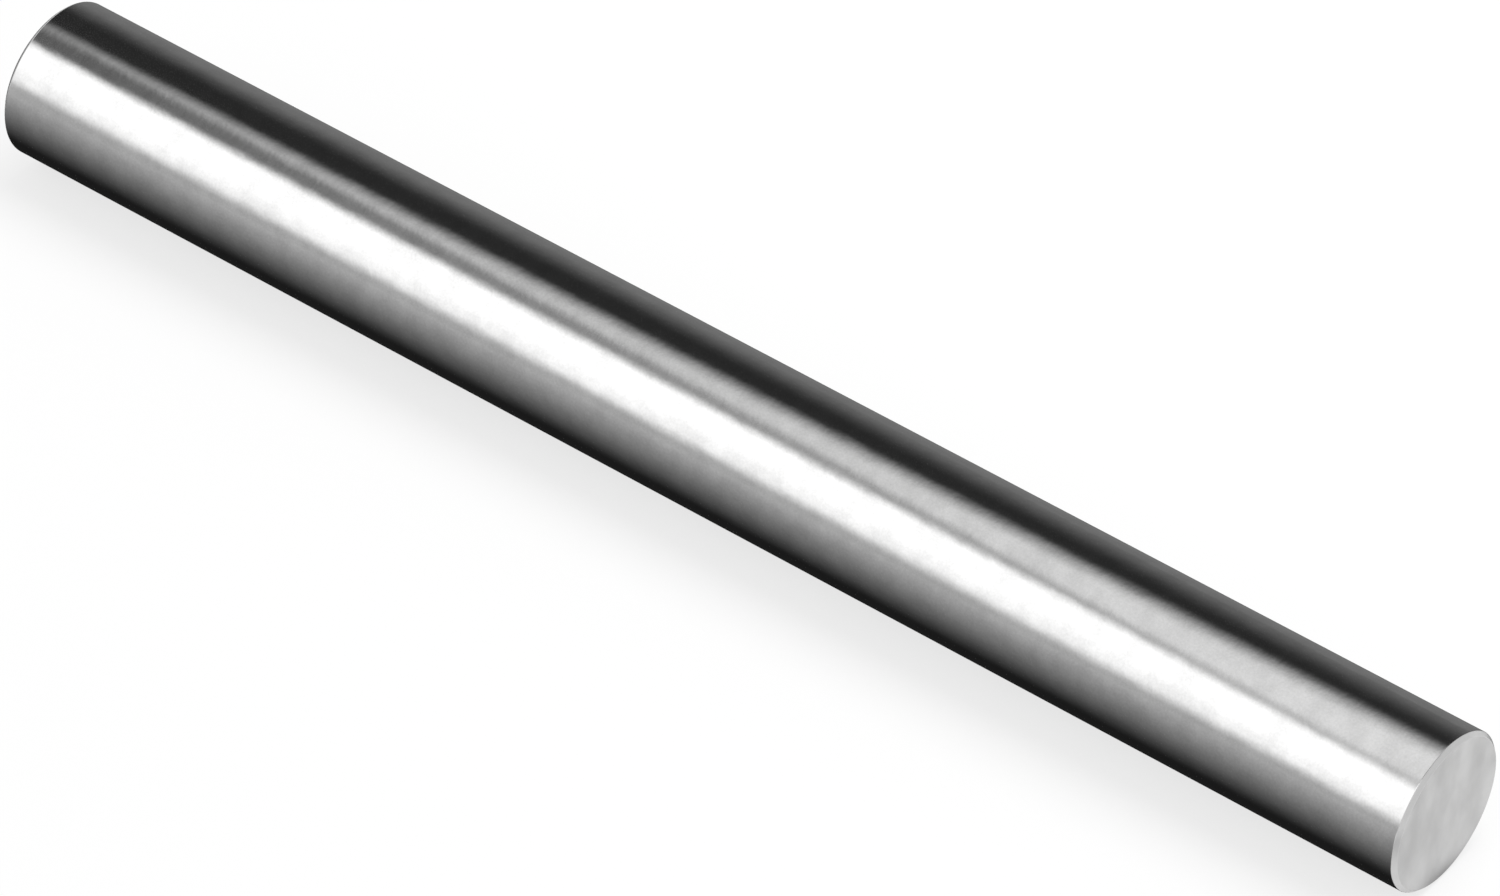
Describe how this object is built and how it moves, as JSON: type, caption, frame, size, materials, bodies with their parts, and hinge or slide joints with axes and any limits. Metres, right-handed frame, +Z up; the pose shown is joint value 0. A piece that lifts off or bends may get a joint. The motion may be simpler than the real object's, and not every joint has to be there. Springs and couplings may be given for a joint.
{
  "type": "stainless steel round bar",
  "caption": "Straight solid round bar of polished stainless steel, cut to a short length, with square ends and a small 45 degree chamfer on each end's edge.",
  "frame": {"origin": "on the floor line, under the middle of the bar", "axes": "+X along the bar's axis, +Z up"},
  "size_m": [0.305, 0.03, 0.03],
  "materials": {
    "stainless_steel": "ground and polished bright along its length, faced satin on its ends"
  },
  "bodies": {
    "root": {"round_bar": "stainless_steel"}
  },
  "joints": []
}
